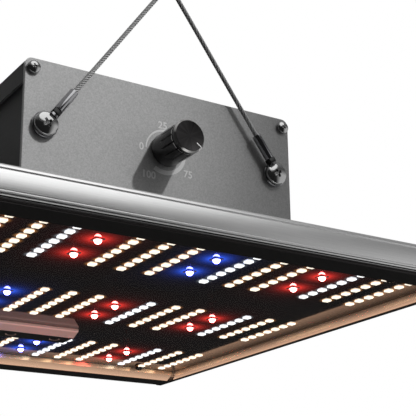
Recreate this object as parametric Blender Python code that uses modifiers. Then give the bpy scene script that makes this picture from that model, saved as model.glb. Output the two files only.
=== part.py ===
"""LED grow light: a square lamp with a driver box on top, hung from two wire rope bridles.

Sizes are in millimetres and become metres in the helpers. Heights are measured from the lit face
of the LED board; the origin is midway between the two rope eyes, where the lamp hangs.
X runs along the front of the lamp, Y from front to back and Z up.
"""

import math

import bmesh
import bpy
from mathutils import Matrix, Vector

MM = 0.001
GAP = 0.3                   # clearance between touching pieces

# ---------------------------------------------------------------- driving dimensions
FRAME_X = 165.0             # half width of the frame, outside
FRAME_Y = 163.0             # half depth of the frame, outside
FRAME_BOTTOM = -6.1
FRAME_TOP = 10.3
LIP = 16.7                  # width of the underside of the front and rear rails
WALL_Y = 139.2              # half distance between the front and rear reflectors
WALL_X = 161.0              # half distance between the side reflectors
SIDE = 5.5                  # width of the underside of the side rails
SHEET = 0.5                 # reflector sheet
HANG_HEIGHT = 170.0         # board face to the inside top of the rope eyes

BOARD = 1.6
SPREADER = 3.0
FLANGE_Z = BOARD + SPREADER + 2 * GAP     # underside of the rails' inner flange
FLANGE = 2.2
RAIL_TOP = 14.0                           # width of the rails' top face
LID = 1.5                                 # tray's lid, on the rails' flanges
LID_Z = FLANGE_Z + FLANGE + GAP

BOX_X = 73.7                # driver housing, half width
BOX_Y = 124.4               # half length over the end plates
BOX_BOTTOM = 15.0
BOX_TOP = 78.8
PLATE = 2.0
PLATE_X = 74.3
PLATE_TOP = 80.4
PLATE_CORNER = 3.6

CORNER_SCREW = (70.3, 75.3, 20.1)         # x, upper z, lower z
HANG_SCREW = (63.9, 47.8)                 # x, z
KNOB_Z = 48.0
KNOB_RADIUS = 8.4
KNOB_FACE = 23.3                          # knob's face in front of the plate

BOARD_X = WALL_X + 0.4      # half width of the board, under the side reflectors
BOARD_Y = WALL_Y + 0.4
BOARD_SCREW_X = 129.6
BOARD_SCREW_Y = 135.0
COVER_Y = 58.15             # middle of the wire cover
COVER_WALL = 1.5
COVER_SCREWS = (-28.4, 0.0, 28.4)
WIRE_HOLE = (14.0, COVER_Y)
SCREW_HOLE = 1.8            # radius of the clearance holes for the 3 mm screws
SQUARE = ((-1, -1), (1, -1), (1, 1), (-1, 1))

ROPE = 2.4
ROPE_OUT = 4.0                            # rope plane in front of the end plate
ROPE_LEAN = math.radians(35.4)            # a leg's angle from upright
FERRULE_END = 22.0                        # from the hanging screw's axis
EYE = 1.6                                 # thickness of a terminal's eye
SLEEVE_SPAN = (139.5, 148.5)              # crimp sleeve, bottom and top
FOLD_Z = 66.8                             # bridles fold here, just above the ferrules

# Half of a bridle's route, from a ferrule to the top of the eye: x, z
HALF_ROUTE = [
    (50.4, FOLD_Z), (33.8, 90.0), (16.1, 115.0), (5.4, 130.0), (2.7, 134.0), (1.6, 136.5),
    (1.38, 139.2), (1.38, 143.5), (1.38, 148.0), (1.85, 151.0), (3.7, 155.2), (6.0, 159.6),
    (7.0, 163.6), (6.3, 167.4), (3.9, 170.2), (0.0, 171.2),
]

# ---------------------------------------------------------------- scene and collections
for old in list(bpy.data.objects):
    bpy.data.objects.remove(old, do_unlink=True)

PARTS = bpy.data.collections.new("led_grow_light")
CUTTERS = bpy.data.collections.new("cutters")
for group in (PARTS, CUTTERS):
    bpy.context.scene.collection.children.link(group)


def make_material(name, color, roughness, metallic):
    material = bpy.data.materials.new(name)
    material.use_nodes = True
    shader = material.node_tree.nodes["Principled BSDF"]
    shader.inputs["Base Color"].default_value = (*color, 1.0)
    shader.inputs["Roughness"].default_value = roughness
    shader.inputs["Metallic"].default_value = metallic
    return material


SATIN = make_material("satin_aluminium", (0.62, 0.62, 0.63), 0.35, 1.0)
PLATE_GREY = make_material("grained_aluminium", (0.36, 0.36, 0.36), 0.45, 0.9)
BLACK_ANODISED = make_material("black_anodised", (0.03, 0.03, 0.03), 0.4, 0.6)
POLISHED = make_material("polished_reflector", (0.85, 0.74, 0.66), 0.12, 1.0)
STEEL = make_material("bright_steel", (0.66, 0.66, 0.66), 0.15, 1.0)
WIRE = make_material("wire_rope", (0.35, 0.35, 0.35), 0.3, 1.0)
GLOSS_BLACK = make_material("board_lacquer", (0.012, 0.011, 0.011), 0.06, 0.0)
MATT_BLACK = make_material("black_plastic", (0.02, 0.02, 0.02), 0.4, 0.0)
KNOB_BLACK = make_material("knob_black", (0.012, 0.012, 0.013), 0.25, 0.0)
SLEEVE = make_material("capacitor_sleeve", (0.03, 0.03, 0.05), 0.3, 0.0)
COVER_GREY = make_material("cover_grey", (0.5, 0.48, 0.47), 0.35, 0.2)
GREEN = make_material("circuit_board", (0.03, 0.16, 0.07), 0.5, 0.0)
RUBBER = make_material("rubber", (0.03, 0.03, 0.03), 0.8, 0.0)
YELLOW = make_material("transformer_tape", (0.75, 0.6, 0.12), 0.5, 0.0)
BRASS = make_material("brass", (0.72, 0.55, 0.25), 0.3, 1.0)


# ---------------------------------------------------------------- helpers
def place(obj, material, cutter=False):
    (CUTTERS if cutter else PARTS).objects.link(obj)
    if cutter:
        obj.hide_render = True
        obj.display_type = "WIRE"
    else:
        obj.data.materials.clear()
        obj.data.materials.append(material)
    return obj


def spot(x, y, z):
    """A point in metres from millimetres, with z counted from the board's face."""
    return Vector((x, y, z - HANG_HEIGHT)) * MM


AXES = {
    "X": Matrix(((0, 0, 1), (1, 0, 0), (0, 1, 0))),      # outline in Y and Z, depth along X
    "Y": Matrix(((1, 0, 0), (0, 0, -1), (0, 1, 0))),     # outline in X and Z, depth along -Y
    "Z": Matrix(((1, 0, 0), (0, 1, 0), (0, 0, 1))),      # outline in X and Y, depth along Z
}


def mesh_from(source):
    """Turn a curve object into a mesh object with its caps welded."""
    graph = bpy.context.evaluated_depsgraph_get()
    mesh = bpy.data.meshes.new_from_object(source.evaluated_get(graph))
    shape = bmesh.new()
    shape.from_mesh(mesh)
    bmesh.ops.remove_doubles(shape, verts=shape.verts, dist=1e-6)
    shape.to_mesh(mesh)
    shape.free()
    solid = bpy.data.objects.new(source.name, mesh)
    solid.matrix_world = source.matrix_world.copy()
    name = source.name
    bpy.data.objects.remove(source, do_unlink=True)
    solid.name = name
    return solid


def extrusion(name, loops, axis, start, end, material, at=(0, 0), edge=0.0, cutter=False):
    """Extrude outlines between start and end along an axis; later loops are holes."""
    curve = bpy.data.curves.new(name, "CURVE")
    curve.dimensions = "2D"
    curve.fill_mode = "BOTH"
    curve.extrude = (end - start) / 2 * MM - edge * MM
    curve.bevel_depth = edge * MM
    curve.bevel_resolution = 0
    curve.offset = -edge * MM
    for loop in loops:
        spline = curve.splines.new("POLY")
        spline.points.add(len(loop) - 1)
        for point, (u, v) in zip(spline.points, loop):
            point.co = (u * MM, v * MM, 0, 1)
        spline.use_cyclic_u = True
    source = bpy.data.objects.new(name, curve)
    PARTS.objects.link(source)
    middle = (start + end) / 2
    centre = {
        "X": spot(middle, at[0], at[1]),
        "Y": spot(at[0], middle, at[1]),
        "Z": spot(at[0], at[1], middle),
    }[axis]
    source.matrix_world = Matrix.Translation(centre) @ AXES[axis].to_4x4()
    bpy.context.view_layer.update()
    return place(mesh_from(source), material, cutter)


def turned(name, profile, location, axis, material, steps=20, cutter=False):
    """Turn a profile of (radius, height) pairs, top to bottom, about a line along axis."""
    mesh = bpy.data.meshes.new(name)
    points = [(r * MM, 0, h * MM) for r, h in profile]
    mesh.from_pydata(points, [(i, i + 1) for i in range(len(points) - 1)], [])
    obj = bpy.data.objects.new(name, mesh)
    obj.location = spot(*location)
    obj.rotation_euler = Vector(axis).to_track_quat("Z", "Y").to_euler()
    screw = obj.modifiers.new("turn", "SCREW")
    screw.steps = steps
    screw.render_steps = steps
    screw.use_merge_vertices = True
    screw.merge_threshold = 0.00001
    return place(obj, material, cutter)


def block(name, low, high, material, bevel=0.0, cutter=False):
    """A box between two corners, with an optional edge bevel."""
    mesh = bpy.data.meshes.new(name)
    shape = bmesh.new()
    bmesh.ops.create_cube(shape, size=1.0)
    size = Vector(high) - Vector(low)
    bmesh.ops.scale(shape, verts=shape.verts, vec=size * MM)
    shape.to_mesh(mesh)
    shape.free()
    obj = bpy.data.objects.new(name, mesh)
    obj.location = spot(*((Vector(low) + Vector(high)) / 2))
    if bevel:
        edges = obj.modifiers.new("edges", "BEVEL")
        edges.width = bevel * MM
        edges.segments = 1
    return place(obj, material, cutter)


def hole(radius, location, axis, length, steps=16):
    """A round cutter centred on a location."""
    profile = [(0, length / 2), (radius, length / 2), (radius, -length / 2), (0, -length / 2)]
    return turned("cut_hole", profile, location, axis, None, steps, cutter=True)


def combine(obj, tools, operation="DIFFERENCE"):
    """Boolean an object with cutters, or with pieces that join it."""
    for tool in tools:
        step = obj.modifiers.new("bool", "BOOLEAN")
        step.operation = operation
        step.solver = "EXACT"
        step.object = tool
    return obj


def arc(centre, radius, start, end, steps):
    """Points on an arc, in degrees."""
    angles = [math.radians(start + (end - start) * i / steps) for i in range(steps + 1)]
    return [(centre[0] + radius * math.cos(a), centre[1] + radius * math.sin(a)) for a in angles]


def circle(centre, radius, steps=16):
    return arc(centre, radius, 0, 360 * (steps - 1) / steps, steps - 1)


def rounded(half_x, low, high, radius, steps=4):
    """A rectangle with round corners, centred on x = 0."""
    corners = [(half_x, high, 0), (-half_x, high, 90), (-half_x, low, 180), (half_x, low, 270)]
    points = []
    for x, y, turn in corners:
        cx = x - math.copysign(radius, x)
        cy = y - radius if y == high else y + radius
        points += arc((cx, cy), radius, turn, turn + 90, steps)
    return points


def turn_about_middle(pieces, angle):
    """Turn pieces about the lamp's vertical centre line."""
    bpy.context.view_layer.update()
    for piece in pieces:
        piece.matrix_world = Matrix.Rotation(angle, 4, "Z") @ piece.matrix_world


# ---------------------------------------------------------------- frame
def face_line():
    """Outer face of every rail, bottom to top: inset from the outside, height."""
    ribs = [
        (1.6, FRAME_BOTTOM), (1.1, -5.9), (0.9, -5.5), (1.05, -5.1), (0.5, -4.7), (0.45, -4.35),
        (0.75, -3.9), (0.15, -3.4), (0.12, -3.1), (0.45, -2.65), (0.0, -2.15), (0.0, -1.85), (0.3, -1.3),
    ]
    crown_low, crown_high = -0.9, 7.7
    crown = []
    for i in range(9):
        t = i / 8
        crown.append((0.15 + 0.75 * t * t, crown_low + (crown_high - crown_low) * t))
    return ribs + crown + [(1.25, 8.25), (0.95, 8.6), (1.1, 9.6), (1.7, FRAME_TOP)]


def make_rails():
    """Hollow front and rear rails, open at their ends, with the polished sheets that line them."""
    inset = FRAME_Y - WALL_Y                   # outer face to the reflector
    seat = inset - SHEET - GAP
    flange_edge = inset + 10.2
    outline = face_line() + [
        (RAIL_TOP, FRAME_TOP), (RAIL_TOP, FLANGE_Z + FLANGE), (flange_edge, FLANGE_Z + FLANGE),
        (flange_edge, FLANGE_Z), (seat, FLANGE_Z), (seat, -2.25), (LIP, -5.0), (LIP, FRAME_BOTTOM),
    ]
    wall = 2.1
    cavity = [
        (2.6, -4.0), (13.0, -4.0), (seat - wall, -1.4), (seat - wall, 5.4),
        (RAIL_TOP - wall, 5.4), (RAIL_TOP - wall, 8.3), (2.6, 8.3),
    ]
    length = FRAME_X - SIDE - GAP              # half the rail's length
    for name, turn in (("rail_front", 0.0), ("rail_rear", math.pi)):
        loops = [[(p - FRAME_Y, z) for p, z in loop] for loop in (outline, cavity)]
        rail = extrusion(name, loops, "X", -length, length, SATIN)
        cuts = [
            hole(SCREW_HOLE, (x, -BOARD_SCREW_Y, FLANGE_Z + 1), (0, 0, 1), 8, 12)
            for x in (-BOARD_SCREW_X, BOARD_SCREW_X)
        ]
        combine(rail, cuts)
        turn_about_middle([rail] + cuts, turn)
    reflector = [
        (inset, -GAP), (inset, -2.9), (LIP + GAP, -5.75), (LIP + GAP, -5.25),
        (inset - SHEET, -2.5), (inset - SHEET, -GAP),
    ]
    end_room = 0.4                             # short of the rail at each end
    for name, turn in (("reflector_front", 0.0), ("reflector_rear", math.pi)):
        loop = [(p - FRAME_Y, z) for p, z in reflector]
        sheet = extrusion(name, [loop], "X", -length + end_room, length - end_room, POLISHED)
        turn_about_middle([sheet], turn)


def make_side_rails():
    """Side rails, pocketed over the board's edge and its reflector."""
    solid = face_line() + [(SIDE, FRAME_TOP), (SIDE, FRAME_BOTTOM)]
    inner = FRAME_X - SIDE
    back = 0.35                                # reflector's back to the pocket
    pocket = WALL_X + SHEET + back
    slope = (WALL_X - inner) / 2.5
    knee = -3.5                                # the reflector leans in below this height
    above, below = FRAME_TOP + 1.0, -7.0
    recess = [
        (pocket, above), (inner - 1.5, above), (inner - 1.5, below),
        (pocket - slope * (knee - below), below), (pocket, knee),
    ]
    sheet = [
        (WALL_X, -GAP), (WALL_X + SHEET, -GAP), (WALL_X + SHEET, knee),
        (inner + 0.1 + SHEET, -6.0), (inner + 0.1, -6.0), (WALL_X, knee),
    ]
    for name, turn in (("side_rail_right", 0.0), ("side_rail_left", math.pi)):
        loop = [(FRAME_X - p, z) for p, z in solid]
        rail = extrusion(name, [loop], "Y", -FRAME_Y, FRAME_Y, SATIN)
        cut = extrusion("cut_side", [recess], "Y", -BOARD_Y - GAP, BOARD_Y + GAP, None, cutter=True)
        combine(rail, [cut])
        turn_about_middle([rail, cut], turn)
    end_room = 0.35                            # short of the front and rear reflectors
    for name, turn in (("reflector_right", 0.0), ("reflector_left", math.pi)):
        piece = extrusion(name, [sheet], "Y", -WALL_Y + end_room, WALL_Y - end_room, POLISHED)
        turn_about_middle([piece], turn)


# ---------------------------------------------------------------- board, spreader and top cover
def pan_head(radius, height, shank, length, rim=0.5):
    """Profile of a pan-head screw with its head's underside at height 0, top to bottom."""
    dome = [(radius * math.sin(math.radians(a)), rim + (height - rim) * math.cos(math.radians(a)))
            for a in (0, 25, 50, 72, 90)]
    return dome + [(radius, 0.0), (shank, 0.0), (shank, -length), (0, -length)]


def make_board():
    """The LED board, the sheet that spreads its heat, and the tray's lid."""
    sheet = [(-BOARD_X, -BOARD_Y), (BOARD_X, -BOARD_Y), (BOARD_X, BOARD_Y), (-BOARD_X, BOARD_Y)]
    corners = [(sx * BOARD_SCREW_X, sy * BOARD_SCREW_Y) for sx, sy in SQUARE]
    holes = [circle(corner, SCREW_HOLE, 12) for corner in corners]
    holes += [circle((x, COVER_Y), SCREW_HOLE, 12) for x in COVER_SCREWS]
    holes.append(circle(WIRE_HOLE, 4.5, 16))
    extrusion("led_board", [sheet] + holes, "Z", 0.0, BOARD, GLOSS_BLACK)
    extrusion("heat_spreader", [sheet] + holes, "Z", BOARD + GAP, BOARD + GAP + SPREADER, SATIN)
    lid_x = FRAME_X - SIDE - 1.0
    lid_y = FRAME_Y - RAIL_TOP - GAP
    lid = [(-lid_x, -lid_y), (lid_x, -lid_y), (lid_x, lid_y), (-lid_x, lid_y)]
    extrusion("top_cover", [lid, circle(WIRE_HOLE, 6.3, 16)], "Z", LID_Z, LID_Z + LID, SATIN)
    for i, (x, y) in enumerate(corners):
        profile = pan_head(3.0, 2.2, 1.5, 7.6)
        turned(f"board_screw_{i + 1}", profile, (x, y, -GAP), (0, 0, -1), MATT_BLACK, 14)


def make_wire_cover():
    """A shallow cover over the board's wire connector, with sloping sides."""
    knee = -1.6                                # the sides slope in below this height
    rings = ((40.5, 8.15, -GAP), (40.5, 8.15, knee), (37.6, 7.5, FRAME_BOTTOM))
    mesh = bpy.data.meshes.new("wire_cover")
    shape = bmesh.new()
    loops = []
    for half_x, half_y, z in rings:
        corners = [(sx * half_x * MM, sy * half_y * MM, z * MM) for sx, sy in SQUARE]
        loops.append([shape.verts.new(corner) for corner in corners])
    for upper, lower in zip(loops, loops[1:]):
        for i in range(4):
            j = (i + 1) % 4
            shape.faces.new((upper[i], lower[i], lower[j], upper[j]))
    shape.faces.new(list(reversed(loops[-1])))
    bmesh.ops.recalc_face_normals(shape, faces=shape.faces)
    shape.to_mesh(mesh)
    shape.free()
    cover = bpy.data.objects.new("wire_cover", mesh)
    cover.location = spot(0, COVER_Y, 0)
    place(cover, COVER_GREY)
    shell = cover.modifiers.new("shell", "SOLIDIFY")
    shell.thickness = COVER_WALL * MM
    shell.offset = -1.0
    shell.use_even_offset = True
    sink = [(0, 1.0), (3.2, 1.0), (3.2, -0.1), (SCREW_HOLE, -1.5), (SCREW_HOLE, -3.0), (0, -3.0)]
    flush = [(0, 0), (2.8, 0), (1.5, -1.3), (1.5, -9.4), (0, -9.4)]
    cuts = []
    for i, x in enumerate(COVER_SCREWS):
        cuts.append(turned("cut_sink", sink, (x, COVER_Y, FRAME_BOTTOM), (0, 0, -1), None, 14, cutter=True))
        turned(f"cover_screw_{i + 1}", flush, (x, COVER_Y, FRAME_BOTTOM + 0.05), (0, 0, -1), MATT_BLACK, 14)
    combine(cover, cuts)
    block("board_connector", (-22.0, COVER_Y - 4.5, -4.2), (-6.0, COVER_Y + 4.5, -GAP), MATT_BLACK, 0.4)


# ---------------------------------------------------------------- driver box
INLET_X = 13.6                             # inlet body, half width
INLET_LOW, INLET_HIGH = 37.6, 57.4
SCREW_CORNERS = [(sx * CORNER_SCREW[0], z) for z in CORNER_SCREW[1:] for sx in (-1, 1)]


def make_housing():
    """The driver box's extruded tube, the bars it stands on and the grommet for its wires."""
    step, ridge = 0.9, 68.7
    side = BOX_X - step
    outer = [
        (BOX_X, BOX_TOP), (-BOX_X, BOX_TOP), (-BOX_X, ridge + 0.2), (-side, ridge - 0.2),
        (-side, BOX_BOTTOM), (side, BOX_BOTTOM), (side, ridge - 0.2), (BOX_X, ridge + 0.2),
    ]
    wall, boss = 2.0, 7.4                      # screw bosses fill the corners
    in_x, low, high = side - wall, BOX_BOTTOM + wall, BOX_TOP - wall
    boss_x, boss_low, boss_high = BOX_X - boss, BOX_BOTTOM + boss + 1.0, BOX_TOP - boss
    inner = [
        (boss_x, high), (-boss_x, high), (-boss_x, boss_high), (-in_x, boss_high),
        (-in_x, boss_low), (-boss_x, boss_low), (-boss_x, low), (boss_x, low),
        (boss_x, boss_low), (in_x, boss_low), (in_x, boss_high), (boss_x, boss_high),
    ]
    holes = [circle(corner, SCREW_HOLE, 12) for corner in SCREW_CORNERS]
    depth = BOX_Y - PLATE - GAP
    housing = extrusion("driver_housing", [outer, inner] + holes, "Y", -depth, depth, BLACK_ANODISED)
    combine(housing, [hole(6.3, (*WIRE_HOLE, BOX_BOTTOM + 1), (0, 0, 1), 6)])
    bar_x, bar_y, bar_half = 66.0, 80.0, 8.0
    bar_low, bar_high = LID_Z + LID + GAP, BOX_BOTTOM - GAP
    for name, y in (("mounting_bar_front", -bar_y), ("mounting_bar_rear", bar_y)):
        block(name, (-bar_x, y - bar_half, bar_low), (bar_x, y + bar_half, bar_high), SATIN, 0.5)
    bore, waist, rim = 4.2, 5.9, 8.2
    profile = [
        (bore, 5.6), (rim, 5.2), (rim, 3.4), (waist, 3.4), (waist, -0.6), (rim, -0.6),
        (rim, -2.0), (bore, -2.4), (bore, 5.6),
    ]
    turned("wire_grommet", profile, (*WIRE_HOLE, BOX_BOTTOM - 0.2), (0, 0, 1), RUBBER, 20)


def make_end_plates():
    outline = rounded(PLATE_X, BOX_BOTTOM, PLATE_TOP, PLATE_CORNER)
    common = [circle(corner, SCREW_HOLE, 12) for corner in SCREW_CORNERS]
    common += [circle((sx * HANG_SCREW[0], HANG_SCREW[1]), 2.9, 16) for sx in (-1, 1)]
    front = [outline] + common + [circle((0, KNOB_Z), 3.9, 20)]
    rear = [outline] + common + [rounded(INLET_X + GAP, INLET_LOW - GAP, INLET_HIGH + GAP, 2.0, 3)]
    for name, loops, start in (("end_plate_front", front, -BOX_Y), ("end_plate_rear", rear, BOX_Y - PLATE)):
        extrusion(name, loops, "Y", start, start + PLATE, PLATE_GREY, edge=0.25)
    for side, way in (("front", -1), ("rear", 1)):
        for i, (x, z) in enumerate(SCREW_CORNERS):
            head = pan_head(3.2, 2.2, 1.5, 9.0, rim=1.1)
            turned(f"plate_screw_{side}_{i + 1}", head, (x, way * (BOX_Y + GAP), z), (0, way, 0), STEEL, 16)


def make_inlet():
    """Panel inlet for a detachable mains lead: a shell with a socket and three pins."""
    wall, rim = 1.5, 2.4
    face = BOX_Y + GAP + 2.3
    back = face - 19.6
    deep = face - 15.0                         # bottom of the socket
    shell = extrusion("power_inlet", [rounded(INLET_X + rim, INLET_LOW - rim, INLET_HIGH + rim, 3.0, 3)],
                      "Y", BOX_Y + GAP, face, MATT_BLACK)
    body = extrusion("join_body", [rounded(INLET_X, INLET_LOW, INLET_HIGH, 2.0, 3)],
                     "Y", back, BOX_Y + 1.0, None, cutter=True)
    well = extrusion("cut_well", [rounded(INLET_X - wall, INLET_LOW + wall, INLET_HIGH - wall, 2.5, 3)],
                     "Y", deep, face + 1.0, None, cutter=True)
    combine(shell, [body], "UNION")
    middle = (INLET_LOW + INLET_HIGH) / 2
    seats = [(-7.0, middle - 1.5), (0.0, middle + 2.5), (7.0, middle - 1.5)]
    half_x, half_z = 1.0, 2.0                  # a pin's section
    slots = [
        block("cut_pin", (x - half_x - GAP, back - 1.0, z - half_z - GAP),
              (x + half_x + GAP, deep + 1.0, z + half_z + GAP), None, cutter=True)
        for x, z in seats
    ]
    combine(shell, [well] + slots)
    for i, (x, z) in enumerate(seats):
        block(f"inlet_pin_{i + 1}", (x - half_x, back - 5.0, z - half_z),
              (x + half_x, face - 4.0, z + half_z), BRASS, 0.4)


def make_electronics():
    """What the driver box holds: a circuit board with a transformer and two capacitors."""
    board_z, board = 22.0, 1.6
    seat = board_z + board + 0.4
    block("driver_board", (-62.0, -95.0, board_z), (62.0, 95.0, board_z + board), GREEN)
    block("transformer", (-20.0, -20.0, seat), (18.0, 18.0, seat + 30.0), YELLOW, 2.0)
    can = [(0, 33.0), (8.4, 33.0), (9.0, 32.4), (9.0, 0.0), (0, 0.0)]
    for i, y in enumerate((45.0, 68.0)):
        turned(f"capacitor_{i + 1}", can, (-38.0, y, seat), (0, 0, 1), SLEEVE, 20)


# ---------------------------------------------------------------- dimmer
def make_dimmer():
    """A panel potentiometer with its nut, its shaft and a fluted knob."""
    inside = BOX_Y - PLATE                     # inner face of the end plate
    case, bore, neck = 8.0, 3.05, 3.5
    body = [
        (bore, 8.0), (neck, 8.0), (neck, -GAP), (case, -GAP), (case, -9.5), (0, -9.5),
        (0, -6.5), (bore, -6.5), (bore, 8.0),
    ]
    turned("dimmer_potentiometer", body, (0, -inside, KNOB_Z), (0, -1, 0), STEEL, 24)
    nut_back = -BOX_Y - GAP
    extrusion("dimmer_nut", [circle((0, 0), 5.6, 6), circle((0, 0), neck + 0.35, 20)], "Y",
              nut_back - 2.0, nut_back, STEEL, at=(0, KNOB_Z))
    rod = [(0, 21.0), (2.6, 21.0), (3.0, 20.6), (3.0, -6.0), (0, -6.0)]
    turned("dimmer_shaft", rod, (0, -inside, KNOB_Z), (0, -1, 0), STEEL, 24)
    flutes = []
    count = 30
    for i in range(count):
        for part, depth in ((0.0, 0.0), (0.5, 0.0), (0.7, 0.4), (0.8, 0.4)):
            angle = 2 * math.pi * (i + part) / count
            radius = KNOB_RADIUS - depth
            flutes.append((radius * math.cos(angle), radius * math.sin(angle)))
    knob_back = -BOX_Y - 1.2
    knob = extrusion("dimmer_knob", [flutes], "Y", -BOX_Y - KNOB_FACE, knob_back, KNOB_BLACK,
                     at=(0, KNOB_Z), edge=0.3)
    cuts = []
    for name, radius, depth in (("cut_knob_pocket", 6.2, 7.5), ("cut_knob_bore", 3.3, 18.5)):
        profile = [(0, depth), (radius, depth), (radius, -1.0), (0, -1.0)]
        cuts.append(turned(name, profile, (0, knob_back, KNOB_Z), (0, -1, 0), None, 20, cutter=True))
    combine(knob, cuts)


# ---------------------------------------------------------------- hanging bridles
def smooth(points, per_span):
    """Catmull-Rom curve through 2D points."""
    def between(p, q, r, s, t):
        bend = (2 * p - 5 * q + 4 * r - s) * t * t + (3 * q - p - 3 * r + s) * t ** 3
        return 0.5 * (2 * q + (r - p) * t + bend)

    out = []
    ends = [points[0]] + list(points) + [points[-1]]
    for four in zip(ends, ends[1:], ends[2:], ends[3:]):
        for i in range(per_span):
            out.append(tuple(between(*values, i / per_span) for values in zip(*four)))
    return out + [points[-1]]


def even(points, step):
    """Points spaced evenly along a polyline."""
    lengths = [0.0]
    for a, b in zip(points, points[1:]):
        lengths.append(lengths[-1] + math.dist(a, b))
    count = round(lengths[-1] / step)
    out = []
    k = 0
    for i in range(count + 1):
        target = lengths[-1] * i / count
        while k < len(points) - 2 and lengths[k + 1] < target:
            k += 1
        span = lengths[k + 1] - lengths[k]
        t = (target - lengths[k]) / span if span else 0.0
        out.append(tuple(p + (q - p) * t for p, q in zip(points[k], points[k + 1])))
    return out


def make_rope(name, pivot):
    """A bridle's rope, from one ferrule up round the eye and down to the other."""
    route = HALF_ROUTE + [(-x, z) for x, z in reversed(HALF_ROUTE[:-1])]
    points = even(smooth(route, 12), 4.2)
    curve = bpy.data.curves.new(name, "CURVE")
    curve.dimensions = "3D"
    curve.bevel_depth = ROPE / 2 * MM
    curve.bevel_resolution = 2
    curve.use_fill_caps = True
    spline = curve.splines.new("POLY")
    spline.points.add(len(points) - 1)
    for point, (x, z) in zip(spline.points, points):
        point.co = (x * MM, 0.0, (z - FOLD_Z) * MM, 1.0)
    rope = place(bpy.data.objects.new(name, curve), WIRE)
    rope.parent = pivot


def make_terminal(name, side, way):
    """A swaged eye terminal: a flat eye under the screw's head, a neck and a ferrule."""
    x, z = HANG_SCREW
    eye = extrusion(name, [circle((0, 0), 6.4, 24), circle((0, 0), 3.0, 16)], "Y", 0, EYE, STEEL)
    neck = block("join_neck", (-2.3, 0.2, 5.85), (2.3, 4.6, 9.0), None, 0.5, cutter=True)
    outside, bore = 2.25, 1.5
    tube = [
        (0, FERRULE_END - 3.0), (bore, FERRULE_END - 3.0), (bore, FERRULE_END),
        (1.9, FERRULE_END), (outside, FERRULE_END - 0.4), (outside, 7.4), (1.8, 6.8), (0, 6.8),
    ]
    ferrule = turned("join_ferrule", tube, (0, ROPE_OUT - GAP, 0), (0, 0, 1), None, 16, cutter=True)
    base = Matrix.Translation(spot(side * x, way * (BOX_Y + GAP), z))
    about_face = Matrix.Rotation(math.pi if way < 0 else 0.0, 4, "Z")
    lean = Matrix.Rotation(-side * way * ROPE_LEAN, 4, "Y")
    home = Matrix.Translation(-spot(0, 0, 0))
    bpy.context.view_layer.update()
    for piece in (eye, neck, ferrule):
        piece.matrix_world = base @ about_face @ lean @ home @ piece.matrix_world
    combine(eye, [neck, ferrule], "UNION")


def make_bridles():
    head = pan_head(5.9, 2.5, 2.5, 13.0, rim=1.0)
    sleeve = [rounded(4.1, -2.6, 2.6, 2.5, 4), rounded(2.88, -1.5, 1.5, 1.45, 3)]
    for end, way in (("front", -1), ("rear", 1)):
        y = way * (BOX_Y + ROPE_OUT)
        head_y = way * (BOX_Y + EYE + 2 * GAP)
        for side_name, side in (("left", -1), ("right", 1)):
            make_terminal(f"rope_terminal_{end}_{side_name}", side, way)
            turned(f"hang_screw_{end}_{side_name}", head, (side * HANG_SCREW[0], head_y, HANG_SCREW[1]),
                   (0, way, 0), STEEL, 24)
        pivot = bpy.data.objects.new(f"bridle_pivot_{end}", None)
        PARTS.objects.link(pivot)
        pivot.location = spot(0, y, FOLD_Z)
        make_rope(f"bridle_rope_{end}", pivot)
        crimp = extrusion(f"crimp_sleeve_{end}", sleeve, "Z", *SLEEVE_SPAN, STEEL, at=(0, y))
        crimp.parent = pivot
        crimp.matrix_parent_inverse = pivot.matrix_world.inverted()


make_rails()
make_side_rails()
make_board()
make_wire_cover()
make_housing()
make_end_plates()
make_inlet()
make_electronics()
make_dimmer()
make_bridles()

for obj in PARTS.objects:
    if obj.type == "MESH":
        obj.data.shade_smooth()
        obj.data.set_sharp_from_angle(angle=math.radians(35))
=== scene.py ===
"""Looks of the LED grow light: camera, ropes, detailed fittings, LED packages, materials and light.

Lengths are written in millimetres and turned to metres by MM. Heights named in millimetres are
measured from the lit face of the LED board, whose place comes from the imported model.
"""
import math

import bmesh
import bpy
from mathutils import Matrix, Vector


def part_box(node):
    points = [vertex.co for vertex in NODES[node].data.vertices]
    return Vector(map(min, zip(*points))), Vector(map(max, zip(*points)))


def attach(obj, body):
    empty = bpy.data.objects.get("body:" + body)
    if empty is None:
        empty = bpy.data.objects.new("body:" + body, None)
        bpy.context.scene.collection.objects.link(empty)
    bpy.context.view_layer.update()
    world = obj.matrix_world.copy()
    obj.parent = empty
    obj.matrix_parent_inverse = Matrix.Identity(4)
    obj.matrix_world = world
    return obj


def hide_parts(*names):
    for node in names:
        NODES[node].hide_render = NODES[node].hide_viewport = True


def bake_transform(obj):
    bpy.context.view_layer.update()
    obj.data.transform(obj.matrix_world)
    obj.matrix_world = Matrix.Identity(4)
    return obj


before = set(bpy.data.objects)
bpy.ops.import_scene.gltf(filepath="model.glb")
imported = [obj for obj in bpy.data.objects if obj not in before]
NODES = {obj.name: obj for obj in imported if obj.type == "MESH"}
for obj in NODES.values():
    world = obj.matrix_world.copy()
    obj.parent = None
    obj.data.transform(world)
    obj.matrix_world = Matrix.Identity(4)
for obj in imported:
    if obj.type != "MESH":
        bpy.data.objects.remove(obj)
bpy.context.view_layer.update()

MM = 0.001
BOARD_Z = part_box("led_board")[0].z             # the board's lit face
PLATE_LOW, PLATE_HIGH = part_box("end_plate_front")
PLATE_Y = PLATE_LOW.y                          # front face of the front end plate


def high(z):
    """Height in metres of a place z millimetres above the board's lit face."""
    return BOARD_Z + z * MM


# ------------------------------------------------------------------ camera
CAMERA_PLACE = (-0.26173, -0.57451, -0.32992)
CAMERA_RIGHT = (0.84620, -0.53274, -0.01171)
CAMERA_FORWARD = (0.50710, 0.79833, 0.32484)
SENSOR = 36.0
LENS = 100.04


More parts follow.
